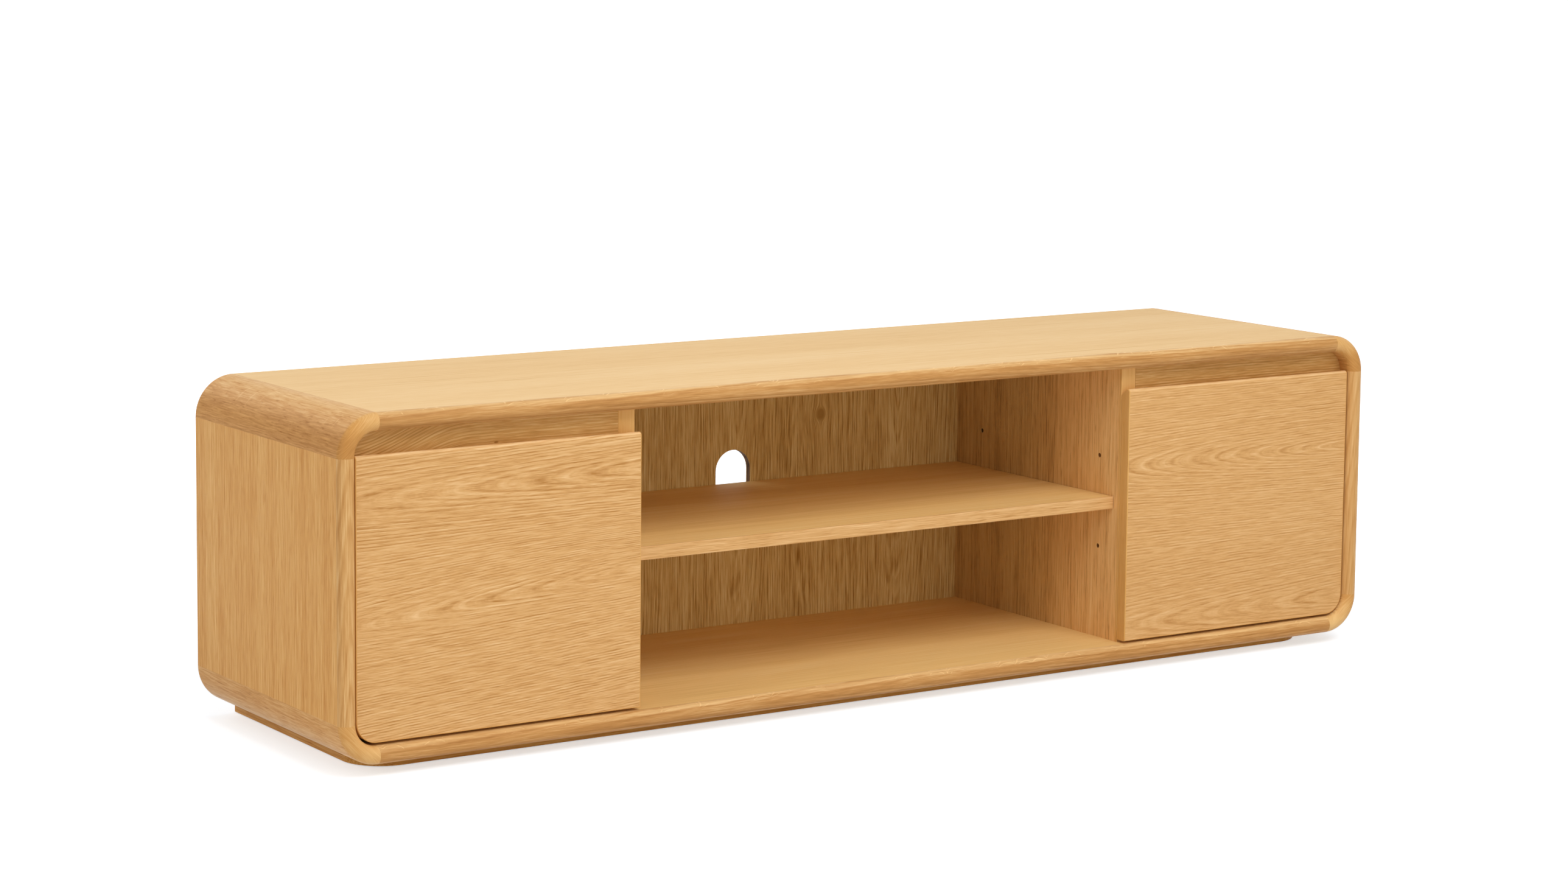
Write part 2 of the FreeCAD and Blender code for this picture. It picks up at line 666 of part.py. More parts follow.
# ---------------------------------------------------------------- hinges
def hinge_box(u, v, z):
    """A box in hinge coordinates: u inwards from the door's outer edge, v backwards from its face."""
    return box((DOOR_OUTER - u[1], DOOR_OUTER - u[0]), (DOOR_FRONT + v[0], DOOR_FRONT + v[1]), z)


def hinge_rod(radius, u, v, level):
    """A round bar along v, about a point u inwards from the door's outer edge."""
    return rod_y(radius, DOOR_OUTER - u, (DOOR_FRONT + v[0], DOOR_FRONT + v[1]), level)


def hinge_leaf(radius, thickness, start, sweep, height, level):
    """A curved leaf about the door's swing axis, from a start angle off the door's plane."""
    base = Vector(DOOR_OUTER, DOOR_FRONT, level - height / 2)
    up = Vector(0, 0, 1)
    outer = Part.makeCylinder(radius + thickness, height, base, up, sweep)
    leaf = outer.cut(Part.makeCylinder(radius, height, base, up))
    leaf.rotate(base, up, 180.0 - start - sweep)
    return leaf


def leaf_start(radius, tip_gap):
    """Angle off the door's plane, in degrees, at which a leaf's tip clears the cup's floor."""
    return math.degrees(math.asin((CUP_FLOOR + tip_gap) / radius))


def hinge_cup(level):
    """Round cup let into the door, and the flange with its two ears on the door's back."""
    radius = CUP_DIAMETER / 2
    inner = radius - CUP_WALL
    back = DOOR_THICKNESS
    ear_u = (CUP_CENTER, CUP_CENTER + CUP_SCREW_OFFSET + CUP_SCREW_HEAD)
    ear_half = CUP_SCREW_SPACING / 2 + CUP_SCREW_HEAD
    ears = hinge_box(ear_u, (back, back + CUP_FLANGE), (level - ear_half, level + ear_half))
    cup = hinge_rod(radius, CUP_CENTER, (CUP_BOTTOM, back), level)
    rim = hinge_rod(radius + CUP_FLANGE_RIM, CUP_CENTER, (back, back + CUP_FLANGE), level)
    hollow = hinge_rod(inner, CUP_CENTER, (CUP_FLOOR, back + CUP_FLANGE), level)
    return cup.fuse([rim, ears]).cut(hollow).removeSplitter()


def hinge_cup_hole(level):
    radius = CUP_DIAMETER / 2 + CUP_HOLE_CLEARANCE
    return hinge_rod(radius, CUP_CENTER, (CUP_BOTTOM - CUP_BOTTOM_CLEARANCE, DOOR_THICKNESS), level)


def hinge_cup_screws(level):
    screw = countersunk_screw(CUP_SCREW_DIAMETER, CUP_SCREW_HEAD, CUP_SCREW_LENGTH)
    x = DOOR_OUTER - CUP_CENTER - CUP_SCREW_OFFSET
    y = DOOR_BACK + CUP_FLANGE
    half = CUP_SCREW_SPACING / 2
    return [placed(screw, (x, y, z), (0, -1, 0)) for z in (level - half, level + half)]


def hinge_arm(level):
    """Arm on the side panel: a straight bar, and a curved leaf that reaches into the cup."""
    half = ARM_HEIGHT / 2
    v = (ARM_LEAF_RADIUS, PLATE_START + PLATE_LENGTH + ARM_OVERHANG)
    bar = hinge_box(ARM_U, v, (level - half, level + half))
    start = leaf_start(ARM_LEAF_RADIUS, ARM_TIP_GAP)
    sweep = math.degrees(math.acos(ARM_U[0] / ARM_LEAF_RADIUS)) - start
    leaf = hinge_leaf(ARM_LEAF_RADIUS, ARM_LEAF_THICKNESS, start, sweep, ARM_HEIGHT, level)
    return bar.fuse(leaf).removeSplitter()


def hinge_link(radius, level):
    """A link between the arm and the cup. It turns with the door by a part of the door's angle."""
    start = leaf_start(radius, LINK_TIP_GAP)
    return hinge_leaf(radius, LINK_THICKNESS, start, LINK_SWEEP, LINK_HEIGHT, level)


def hinge_plate(level):
    """Mounting plate: two wings with screws, and a spine that the arm sits on."""
    face = -DOOR_SIDE_GAP
    wing_half = PLATE_WING_HEIGHT / 2
    spine_half = ARM_HEIGHT / 2
    wings_u = (face, face + PLATE_THICKNESS)
    wings_v = (PLATE_START, PLATE_START + PLATE_WING_LENGTH)
    wings = hinge_box(wings_u, wings_v, (level - wing_half, level + wing_half))
    spine_v = (PLATE_START, PLATE_START + PLATE_LENGTH)
    spine = hinge_box((face, face + ARM_OFFSET), spine_v, (level - spine_half, level + spine_half))
    return wings.fuse(spine).removeSplitter()


def hinge_plate_screws(level):
    screw = countersunk_screw(SCREW_DIAMETER, SCREW_HEAD, PLATE_SCREW_LENGTH)
    x = INNER_HALF - PLATE_THICKNESS
    y = DOOR_FRONT + PLATE_START + PLATE_WING_LENGTH / 2
    half = PLATE_SCREW_SPACING / 2
    return [placed(screw, (x, y, z), (1, 0, 0)) for z in (level - half, level + half)]


def build_doors(parts):
    """Both doors with their hinges. The side panels lose the holes for the plates' screws."""
    cup_holes = [hinge_cup_hole(level) for level in HINGE_LEVELS]
    cup_screws = [screw for level in HINGE_LEVELS for screw in hinge_cup_screws(level)]
    plate_screws = [screw for level in HINGE_LEVELS for screw in hinge_plate_screws(level)]
    panel, lipping, edging = door_pieces()

    groups = {
        "door_panel": [panel.cut(cup_holes + cup_screws)],
        "door_lipping": [lipping],
        "door_edging": [edging],
        "door_bumpers": door_bumpers(),
        "hinge_cups": [hinge_cup(level).cut(cup_screws) for level in HINGE_LEVELS],
        "cup_screws": cup_screws,
        "inner_links": [hinge_link(INNER_LINK_RADIUS, level) for level in HINGE_LEVELS],
        "outer_links": [hinge_link(OUTER_LINK_RADIUS, level) for level in HINGE_LEVELS],
    }
    for name, shapes in groups.items():
        parts["right_" + name] = shapes
        parts["left_" + name] = [across(shape) for shape in shapes]

    plates = [hinge_plate(level).cut(plate_screws) for level in HINGE_LEVELS]
    parts["hinge_plates"] = both_sides(plates)
    parts["hinge_arms"] = both_sides([hinge_arm(level) for level in HINGE_LEVELS])
    parts["hinge_plate_screws"] = both_sides(plate_screws)
    for side in ("left_side_panel", "right_side_panel"):
        parts[side] = [cut_all(board, parts["hinge_plate_screws"]) for board in parts[side]]


# ---------------------------------------------------------------- output
def build():
    """Every node by name, as a list of separate solids."""
    parts = {}
    tongues, grooves = corner_joints()
    dowels, dowel_holes = carcass_dowels()
    build_carcass(parts, tongues, grooves, dowels, dowel_holes, back_screws())
    build_shelves(parts)
    build_plinth(parts)
    build_doors(parts)
    return parts


def export(parts):
    os.makedirs("parts", exist_ok=True)
    for name, shapes in parts.items():
        solids = [solid for shape in shapes for solid in shape.Solids]
        node = solids[0] if len(solids) == 1 else Part.makeCompound(solids)
        node.exportStep("parts/" + name + ".step")
        print(name, len(solids), "solid(s), volume", round(node.Volume), "valid", node.isValid())


export(build())
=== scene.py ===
"""Looks of the oak media cabinet: materials for its fixed frame, studio light, floor and camera.

Metres, +Z up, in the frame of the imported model. Every finish is worked out from object
coordinates, so the grain runs on through a piece and moves with it.
"""
import json
import math
from collections import namedtuple

import bpy
from mathutils import Matrix, Vector


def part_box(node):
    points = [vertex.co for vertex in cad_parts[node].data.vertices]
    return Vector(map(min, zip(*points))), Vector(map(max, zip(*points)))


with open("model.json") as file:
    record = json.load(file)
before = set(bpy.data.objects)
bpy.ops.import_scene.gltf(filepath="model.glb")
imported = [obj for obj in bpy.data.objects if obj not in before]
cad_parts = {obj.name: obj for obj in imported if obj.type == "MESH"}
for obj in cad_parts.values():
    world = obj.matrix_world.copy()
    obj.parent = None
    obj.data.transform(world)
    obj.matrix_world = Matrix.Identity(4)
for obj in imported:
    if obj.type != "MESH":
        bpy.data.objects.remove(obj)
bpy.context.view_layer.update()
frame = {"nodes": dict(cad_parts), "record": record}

# ---------------------------------------------------------------- camera
CAMERA_PLACE = Vector((-2.9258, -4.2341, 1.1428))
CAMERA_YAW = 32.084         # degrees from +Y towards +X
CAMERA_PITCH = 6.615        # degrees below the horizon
CAMERA_ROLL = 0.342         # degrees
CAMERA_LENS = 79.83         # mm on a 36 mm sensor
CAMERA_SHIFT = (0.08, -0.08)

# ---------------------------------------------------------------- light
WORLD_LIGHT = 0.38
LAMPS = {
    # name: (place, width and height in metres, power in watts)
    "high_front": ((0.0, -2.8, 3.2), 3.0, 2.0, 81.0),
    "low_front": ((0.0, -4.5, 1.2), 3.0, 2.0, 25.0),
    "left": ((-4.0, -0.5, 1.6), 2.5, 2.0, 28.0),
    "overhead": ((0.0, -0.2, 3.2), 3.0, 2.0, 12.0),
    "rear": ((-2.0, 3.6, 2.6), 3.0, 2.0, 30.0),
}
LAMP_AIM = Vector((0.0, 0.0, 0.25))

# ---------------------------------------------------------------- floor
FLOOR_HALF = 40.0           # from the cabinet's middle to the floor's edges

# The floor's colour where it throws light back on the cabinet, and where it is seen.
FLOOR_COLOUR = (0.80, 0.80, 0.80, 1.0)
FLOOR_SEEN_COLOUR = (0.73, 0.80, 0.88, 1.0)

# The seen floor also glows: its strength at these two distances, and eased between them.
GLOW_SPAN = (1.0, 2.2)
GLOW_RANGE = (0.57, 1.0)


# ---------------------------------------------------------------- shader graph
def tone(red, green, blue):
    """A colour given by its display values, 0 to 255, as linear light."""
    linear = []
    for value in (red, green, blue):
        share = value / 255
        linear.append(share / 12.92 if share <= 0.04045 else ((share + 0.055) / 1.055) ** 2.4)
    return (*linear, 1.0)


def grey(value):
    """A grey given in linear light."""
    return (value, value, value, 1.0)


class Graph:
    """One material's shader nodes, with short calls for the nodes used most."""

    def __init__(self, name):
        self.material = bpy.data.materials.new(name)
        self.material.use_nodes = True
        self.tree = self.material.node_tree
        self.shader = self.tree.nodes["Principled BSDF"]

    def node(self, kind, **settings):
        node = self.tree.nodes.new(kind)
        for key, value in settings.items():
            setattr(node, key, value)
        return node

    def put(self, socket, value):
        """Links a socket to another one, or sets its constant."""
        if isinstance(value, bpy.types.NodeSocket):
            self.tree.links.new(value, socket)
        else:
            socket.default_value = value

    def math(self, operation, *values):
        node = self.node("ShaderNodeMath", operation=operation)
        for socket, value in zip(node.inputs, values):
            self.put(socket, value)
        return node.outputs[0]

    def add(self, *values):
        total = values[0]
        for value in values[1:]:
            total = self.math("ADD", total, value)
        return total

    def subtract(self, a, b):
        return self.math("SUBTRACT", a, b)

    def times(self, *values):
        total = values[0]
        for value in values[1:]:
            total = self.math("MULTIPLY", total, value)
        return total

    def about(self, value, amount):
        """How far a value of 0 to 1 stands from its middle, times an amount."""
        return self.times(self.subtract(value, 0.5), amount)

    def root_of_squares(self, a, b):
        return self.math("SQRT", self.add(self.times(a, a), self.times(b, b)))

    def span(self, value, low, high, to_low=0.0, to_high=1.0):
        """A value eased from one span to another, and held at its ends."""
        node = self.node("ShaderNodeMapRange", interpolation_type="SMOOTHSTEP")
        for socket, given in zip(node.inputs, (value, low, high, to_low, to_high)):
            self.put(socket, given)
        return node.outputs[0]

    def between(self, share, a, b):
        """The number a where the share is 0, b where it is 1."""
        return self.add(a, self.times(self.subtract(b, a), share))

    def vector(self, x, y, z):
        node = self.node("ShaderNodeCombineXYZ")
        for socket, value in zip(node.inputs, (x, y, z)):
            self.put(socket, value)
        return node.outputs[0]

    def noise(self, vector, detail=2.0, roughness=0.5, scale=1.0):
        node = self.node("ShaderNodeTexNoise")
        self.put(node.inputs["Vector"], vector)
        node.inputs["Scale"].default_value = scale
        node.inputs["Detail"].default_value = detail
        node.inputs["Roughness"].default_value = roughness
        return node.outputs["Fac"]

    def random(self, value):
        """One random number for each value."""
        node = self.node("ShaderNodeTexWhiteNoise", noise_dimensions="1D")
        self.put(node.inputs["W"], value)
        return node.outputs["Value"]

    def ramp(self, value, stops):
        node = self.node("ShaderNodeValToRGB")
        while len(node.color_ramp.elements) < len(stops):
            node.color_ramp.elements.new(0.5)
        for element, (place, colour) in zip(node.color_ramp.elements, stops):
            element.position = place
            element.color = colour
        self.put(node.inputs["Fac"], value)
        return node.outputs["Color"]

    def mix(self, share, a, b):
        """The colour a where the share is 0, b where it is 1."""
        node = self.node("ShaderNodeMix", data_type="RGBA")
        self.put(node.inputs["Factor"], share)
        colours = [socket for socket in node.inputs if socket.type == "RGBA"]
        self.put(colours[0], a)
        self.put(colours[1], b)
        return [socket for socket in node.outputs if socket.type == "RGBA"][0]

    def bump(self, height, distance, strength):
        node = self.node("ShaderNodeBump")
        node.inputs["Distance"].default_value = distance
        node.inputs["Strength"].default_value = strength
        self.put(node.inputs["Height"], height)
        self.put(self.shader.inputs["Normal"], node.outputs["Normal"])

    def paint(self, value, tones):
        """Colour from a value of 0 to 1."""
        self.put(self.shader.inputs["Base Color"], self.ramp(value, tones))

    def polish(self, value, dull, smooth):
        """Roughness, dull where the value is 0 and smooth where it is 1."""
        self.put(self.shader.inputs["Roughness"], self.span(value, 0.0, 1.0, dull, smooth))

    def object_point(self):
        return self.node("ShaderNodeTexCoord").outputs["Object"]

    def object_axes(self):
        node = self.node("ShaderNodeSeparateXYZ")
        self.put(node.inputs[0], self.object_point())
        return dict(zip("XYZ", node.outputs))

    def stretched_noise(self, per_metre, detail=2.0):
        """Noise with its own number of features per metre along each axis."""
        axes = self.object_axes()
        place = [self.times(axes[axis], number) for axis, number in zip("XYZ", per_metre)]
        return self.noise(self.vector(*place), detail)


# ---------------------------------------------------------------- oak
OIL_IOR = 1.46
OIL_SPECULAR = 0.15
WOOD_RELIEF = 0.6           # strength of every wood's bump
SHEEN_SPREAD = 0.10         # how much duller the darkest grain is than the middle

# Depths under a board's face where the painted shade of its cut edges and hole walls begins, and is
# full.
SKIN_DEPTHS = (0.0006, 0.0020)

# Distances in front of the cabinet's rear face where that face's tones begin, and are full.
REAR_SKIN = (0.0008, 0.0002)

# Places from front to back between which the dividers' tones change: painted light, paler and warmer
# towards the front, where the lamps reach into the bay.
PAINTED_LIGHT_BLEND = (-0.13, 0.07)

# Places from front to back between which a corner post's end grain turns into long grain.
POST_NOSE = (-0.222, -0.212)

# How far down from a door's top its painted highlight, a pale strip along the rounded top edge, begins
# and is full, and how pale it is.
DOOR_HIGHLIGHT_SPAN = (0.0045, 0.0015)
DOOR_HIGHLIGHT = 0.34

# Places from left to right between which the left rail's grain climbs, and how far it does.
RAIL_CLIMB_SPAN = (-0.88, -0.69)
RAIL_CLIMB = 0.052

# Knots: the place along the grain and across it, and for the back's the radius.
RAIL_KNOT = (-0.651, 0.4345)
BACK_KNOT = (0.362, 0.165, 0.0085)

# Nested arches of flat-sawn wood, in metres, as Oak.arches describes them.
Figure = namedtuple("Figure", "centre tilt depth lean origin")

LEFT_DOOR_UPPER = Figure(centre=0.376, tilt=0.02, depth=0.032, lean=0.037, origin=-0.724)
LEFT_DOOR_LOWER = Figure(centre=0.205, tilt=0.09, depth=0.028, lean=0.053, origin=-0.870)
RIGHT_DOOR_UPPER = Figure(centre=0.315, tilt=0.0, depth=0.026, lean=0.078, origin=0.580)
RIGHT_DOOR_LOWER = Figure(centre=0.072, tilt=0.02, depth=0.038, lean=0.053, origin=0.500)
BACK_FIGURES = (
    Figure(centre=0.010, tilt=0.02, depth=0.020, lean=0.070, origin=0.300),
    Figure(centre=0.125, tilt=-0.03, depth=0.016, lean=-0.060, origin=0.200),
    Figure(centre=0.312, tilt=0.02, depth=0.022, lean=0.080, origin=0.250),
    Figure(centre=-0.260, tilt=0.0, depth=0.020, lean=0.070, origin=0.250),
    Figure(centre=-0.640, tilt=0.03, depth=0.024, lean=-0.060, origin=0.200),
    Figure(centre=0.660, tilt=0.0, depth=0.022, lean=0.070, origin=0.250),
)

# One growth ring, from its light start through its dark early wood.
RING_PROFILE = (
    (0.0, grey(0.50)), (0.14, grey(0.86)), (0.36, grey(0.60)),
    (0.60, grey(0.52)), (0.80, grey(0.04)), (0.90, grey(0.12)), (1.0, grey(0.50)),
)


class Oak(Graph):
    """Oiled oak. along is the grain's axis, across runs over the width of the board's face.

    seed makes one board's grain differ from another's. bend and ripple are how far the grain
    wanders sideways, in metres: slowly, and finely.
    """

    def __init__(self, name, along, across, seed, bend, ripple):
        super().__init__(name)
        self.axes = self.object_axes()
        self.seed = seed
        self.along, self.across, self.through = self.pick_axes(along, across)
        self.across = self.add(
            self.across,
            self.about(self.field(1.4, 5.0, salt=3.0), bend),
            self.about(self.field(24.0, 50.0, salt=5.0), ripple),
        )

    def pick_axes(self, along, across):
        through = ({"X", "Y", "Z"} - {along, across}).pop()
        return self.axes[along], self.axes[across], self.axes[through]

    def field(self, along, across, through=None, detail=2.0, roughness=0.5, salt=0.0, follow=None):
        """Noise with its own number of features per metre along, across and through the grain.

        salt makes one field differ from another of the same board. follow is a position that
        the features keep to, instead of the one across the grain.
        """
        through = across if through is None else through
        crosswise = self.across if follow is None else follow
        place = self.vector(
            self.add(self.times(self.along, along), self.seed + salt),
            self.add(self.times(crosswise, across), self.seed * 0.37 - salt),
            self.times(self.through, through),
        )
        return self.noise(place, detail, roughness)

    def arches(self, centre, tilt, depth, lean, origin):
        """Ring distance of a flat-sawn leaf, and how squarely its rings meet the face, 0 to 1.

        The rings show as nested arches round a pith line behind the face. centre is the arches'
        middle across the grain at origin along it, and tilt is how it climbs from there. depth
        is how far the pith lies behind the face at origin, and lean how fast it rises to it.
        """
        onward = self.subtract(self.along, origin)
        aside = self.subtract(self.subtract(self.across, centre), self.times(onward, tilt))
        below = self.subtract(depth, self.times(onward, lean))
        distance = self.root_of_squares(aside, below)
        return distance, self.math("DIVIDE", self.math("ABSOLUTE", aside), distance)

    def rings(self, distance, spacing):
        """Light and dark of each growth ring, 0 to 1, some rings stronger than others."""
        count = self.math("DIVIDE", distance, spacing)
        profile = self.ramp(self.math("FRACT", count), RING_PROFILE)
        strength = self.span(self.random(self.math("FLOOR", count)), 0.0, 1.0, 0.35, 1.0)
        return self.add(self.times(self.subtract(profile, 0.5), strength), 0.5)

    def knot(self, place, centre, radius, stretch=1.2):
        """Bends the grain round a knot, and gives the share that is knot wood.

        The knot is longer along the grain than across it by the factor stretch.
        """
        onward = self.subtract(self.along, place)
        aside = self.subtract(self.across, centre)
        distance = self.root_of_squares(self.times(onward, 1.0 / stretch), aside)
        squares = self.math("MAXIMUM", self.times(distance, distance), radius * radius)
        kept = self.subtract(1.0, self.math("DIVIDE", radius * radius, squares))
        self.across = self.add(self.times(aside, kept), centre)
        return self.span(distance, 0.5 * radius, 1.4 * radius, 1.0, 0.0)

    def strokes(self, position, spacing, width, salt):
        """Thin lines at uneven steps of a position, some of them missing."""
        count = self.math("DIVIDE", position, spacing)
        index = self.math("FLOOR", count)
        middle = self.span(self.random(self.add(index, salt)), 0.0, 1.0, 0.25, 0.75)
        off = self.math("ABSOLUTE", self.subtract(self.math("FRACT", count), middle))
        line = self.span(off, 0.0, width / spacing, 1.0, 0.0)
        shown = self.span(self.random(self.add(index, salt + 0.5)), 0.35, 0.45)
        return self.times(line, shown)

    def under_skin(self, value, low, high):
        """Whether a value lies inside a board's two faces, and not on one of them, 0 to 1."""
        shallow, deep = SKIN_DEPTHS
        past_low = self.span(value, low + shallow, low + deep)
        past_high = self.span(value, high - deep, high - shallow)
        return self.times(past_low, self.subtract(1.0, past_high))

    def with_rear(self, grain, tones, rear_tones):
        """Colour from the grain's value, with tones of its own on the cabinet's rear face."""
        rear_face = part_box("center_back_panel")[1][1]
        begins, full = REAR_SKIN
        rear = self.span(self.axes["Y"], rear_face - begins, rear_face - full)
        return self.mix(rear, self.ramp(grain, tones), self.ramp(grain, rear_tones))

    def painted_light_toward_front(self, grain, tones, painted_light_front_tones):
        """Colour from the grain's value, with painted light nearer the cabinet's front: other tones
        there, paler and warmer where the lamps reach.
        """
        back = self.span(self.axes["Y"], *PAINTED_LIGHT_BLEND)
        return self.mix(back, self.ramp(grain, painted_light_front_tones), self.ramp(grain, tones))

    def finish(self, grain, colour, depth, roughness=0.46):
        """Colour, sheen and relief from the grain's value, and the finished material.

        colour is a colour socket, or the tones of a ramp over the grain's value.
        """
        if isinstance(colour, bpy.types.NodeSocket):
            self.put(self.shader.inputs["Base Color"], colour)
        else:
            self.paint(grain, colour)
        self.polish(grain, roughness + SHEEN_SPREAD, roughness - SHEEN_SPREAD)
        self.shader.inputs["IOR"].default_value = OIL_IOR
        self.shader.inputs["Specular IOR Level"].default_value = OIL_SPECULAR
        self.bump(grain, depth, WOOD_RELIEF)
        return self.material


class Post(Oak):
    """Oak of the corner posts, whose growth layers lie along the chord of the corner's arc.

    across isn't one of the three axes here: it runs out of the corner, and through runs along
    the chord. arc_middle is through's value where the arc is halfway round.
    """

    def __init__(self, name, seed, bend, ripple):
        super().__init__(name, "Y", None, seed, bend, ripple)

    def pick_axes(self, along, across):
        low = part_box("top_right_corner")[0]
        middle = 0.5 * (low[2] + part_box("bottom_right_corner")[1][2])
        diagonal = math.sqrt(0.5)
        self.arc_middle = (low[0] - low[2] + middle) * diagonal
        x, height = self.axes["X"], self.subtract(self.axes["Z"], middle)
        outward, upward = self.math("ABSOLUTE", x), self.math("ABSOLUTE", height)
        radial = self.times(self.add(outward, upward), diagonal)
        chord = self.times(self.subtract(outward, upward), diagonal)
        # Each of the four posts gets a stretch of grain of its own.
        other_post = self.add(self.math("SIGN", x), self.times(self.math("SIGN", height), 0.4))
        return self.add(self.axes[along], other_post), radial, chord


def ramp_of(dark, middle, light):
    """A ramp's tones from three colours, given by their display values."""
    return ((0.0, tone(*dark)), (0.5, tone(*middle)), (1.0, tone(*light)))


DOOR_TONES = ramp_of((179, 124, 62), (217, 167, 106), (240, 200, 145))
# The top's tones are paler than the doors': partly its own paler veneer, partly painted sheen of the
# light on it.
TOP_TONES_WITH_SHEEN = ramp_of((211, 164, 102), (236, 197, 139), (249, 219, 168))
SIDE_TONES = ramp_of((179, 109, 37), (215, 156, 79), (242, 197, 121))
POST_TONES = ramp_of((158, 100, 42), (208, 152, 84), (240, 200, 136))
EDGE_TONES = ramp_of((166, 106, 46), (208, 158, 96), (242, 206, 148))
STRIP_TONES = ramp_of((182, 114, 48), (218, 165, 93), (244, 202, 134))
# The level front edges are darker than the top: partly their own lipping wood, partly painted shade of
# the rounded front edge.
LEVEL_EDGE_SHADE_TONES = ramp_of((150, 95, 40), (197, 144, 83), (238, 198, 138))
RAIL_TONES = ramp_of((152, 102, 42), (200, 149, 82), (224, 183, 120))
BACK_TONES = ramp_of((156, 110, 40), (213, 172, 100), (236, 208, 144))
BACK_REAR_TONES = ramp_of((166, 112, 52), (220, 168, 104), (242, 204, 146))
# Painted shade: dark tones on the back panel's cut edges, the walls of its cable slot among them.
CUT_EDGE_SHADE_TONES = ramp_of((66, 42, 16), (100, 68, 32), (128, 92, 50))
DIVIDER_TONES = ramp_of((128, 94, 42), (206, 167, 104), (232, 202, 140))
# Painted light: paler, warmer divider tones towards the front, where the lamps reach into the bay.
DIVIDER_PAINTED_LIGHT_TONES = ramp_of((158, 104, 48), (236, 186, 120), (250, 214, 154))
SHELF_TONES = ramp_of((208, 162, 96), (237, 196, 127), (249, 218, 154))


def leaf_oak(name, seed, upper, lower, split, contrast):
    """A door's flat-sawn face, with one figure above the height split and another below it."""
    oak = Oak(name, "X", "Z", seed, bend=0.012, ripple=0.0022)
    above, above_square = oak.arches(*upper)
    below, below_square = oak.arches(*lower)
    share = oak.span(oak.across, split - 0.05, split + 0.05)
    # The lower figure's distances are counted back from the upper one, so the rings run on.
    turned = oak.subtract(upper.centre - lower.centre, below)
    figure = oak.between(share, turned, above)
    square = oak.between(share, below_square, above_square)
    ring = oak.rings(figure, spacing=0.0035)
    dash = oak.field(24.0, 640.0, detail=3.0, roughness=0.7, salt=17.0, follow=figure)
    gap = oak.field(26.0, 300.0, detail=2.0, salt=29.0)
    fibre = oak.field(34.0, 900.0, detail=2.0, roughness=0.6, salt=23.0)
    cloud = oak.field(1.5, 8.0, detail=2.0, salt=31.0)
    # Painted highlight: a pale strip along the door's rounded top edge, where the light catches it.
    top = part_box("left_door_lipping")[1][2]
    begins, full = DOOR_HIGHLIGHT_SPAN
    painted_light = oak.span(oak.axes["Z"], top - begins, top - full, 0.0, DOOR_HIGHLIGHT)
    grain = oak.add(
        0.5,
        painted_light,
        oak.times(
            oak.about(ring, 0.95 * contrast),
            oak.span(gap, 0.36, 0.58, 0.25, 1.10),
            oak.span(square, 0.0, 0.8, 0.80, 1.0),
        ),
        oak.about(dash, 1.05 * contrast),
        oak.about(fibre, 1.15 * contrast),
        oak.about(cloud, 0.22),
    )
    return oak.finish(grain, DOOR_TONES, 0.00035)


def rift_oak(
    name, along, across, seed, tones, contrast=1.0, streaks=1.0, depth=0.0002, faces=None,
    painted_light_front_tones=None,
):
    """Straight quartered oak: long hairs, darker and paler streaks, and short pore ticks.

    faces are a board's two faces as distances from the middle of the cabinet; the walls of the
    holes between them get painted shade, the darkest grain. painted_light_front_tones are the
    tones nearer the cabinet's front, if they differ: painted light, paler where the lamps reach.
    """
    oak = Oak(name, along, across, seed, bend=0.006, ripple=0.0005)
    hair = oak.field(16.0, 760.0, detail=3.0, roughness=0.65, salt=11.0)
    streak = oak.field(3.0, 240.0, detail=3.0, roughness=0.7, salt=13.0)
    band = oak.field(0.8, 30.0, detail=2.0, salt=17.0)
    tick = oak.span(oak.field(36.0, 700.0, detail=1.0, salt=19.0), 0.60, 0.72)
    grain = oak.add(
        0.53,
        oak.about(hair, 1.60 * contrast),
        oak.about(streak, 0.80 * contrast * streaks),
        oak.about(band, 0.55 * streaks),
        oak.times(tick, -0.22 * contrast),
    )
    # Painted shade: the walls of the holes between the board's faces get the darkest grain, as shade
    # inside the holes.
    if faces:
        grain = oak.between(oak.under_skin(oak.math("ABSOLUTE", oak.axes["X"]), *faces), grain, 0.0)
    # Painted light: other, paler tones towards the cabinet's front.
    colour = oak.painted_light_toward_front(grain, tones, painted_light_front_tones) if painted_light_front_tones else tones
    return oak.finish(grain, colour, depth)


def top_oak():
    """The pale top, its paleness partly painted sheen: faint level hairs and a few long darker streaks.
    """
    oak = Oak("oak_top", "X", "Y", 1.0, bend=0.008, ripple=0.0006)
    hair = oak.field(6.0, 520.0, detail=3.0, roughness=0.6, salt=11.0)
    dash = oak.field(30.0, 380.0, detail=1.0, salt=13.0)
    streak = oak.span(oak.field(2.2, 150.0, detail=2.0, salt=17.0), 0.60, 0.76)
    cloud = oak.field(0.9, 9.0, detail=2.0, salt=19.0)
    grain = oak.add(
        0.52,
        oak.about(hair, 0.48),
        oak.about(dash, 0.30),
        oak.times(streak, -0.26),
        oak.about(cloud, 0.45),
    )
    return oak.finish(grain, TOP_TONES_WITH_SHEEN, 0.00015, roughness=0.56)


def shelf_oak(name, seed):
    """Nearly plain veneer of the shelves and the bay's floor."""
    oak = Oak(name, "X", "Y", seed, bend=0.010, ripple=0.0006)
    hair = oak.field(5.0, 420.0, detail=3.0, roughness=0.6, salt=11.0)
    mark = oak.span(oak.field(14.0, 300.0, detail=1.0, salt=13.0), 0.66, 0.80)
    cloud = oak.field(1.6, 12.0, detail=3.0, salt=19.0)
    grain = oak.add(0.5, oak.about(hair, 0.90), oak.times(mark, 0.16), oak.about(cloud, 0.60))
    colour = oak.with_rear(grain, SHELF_TONES, EDGE_TONES)
    return oak.finish(grain, colour, 0.0001, roughness=0.62)


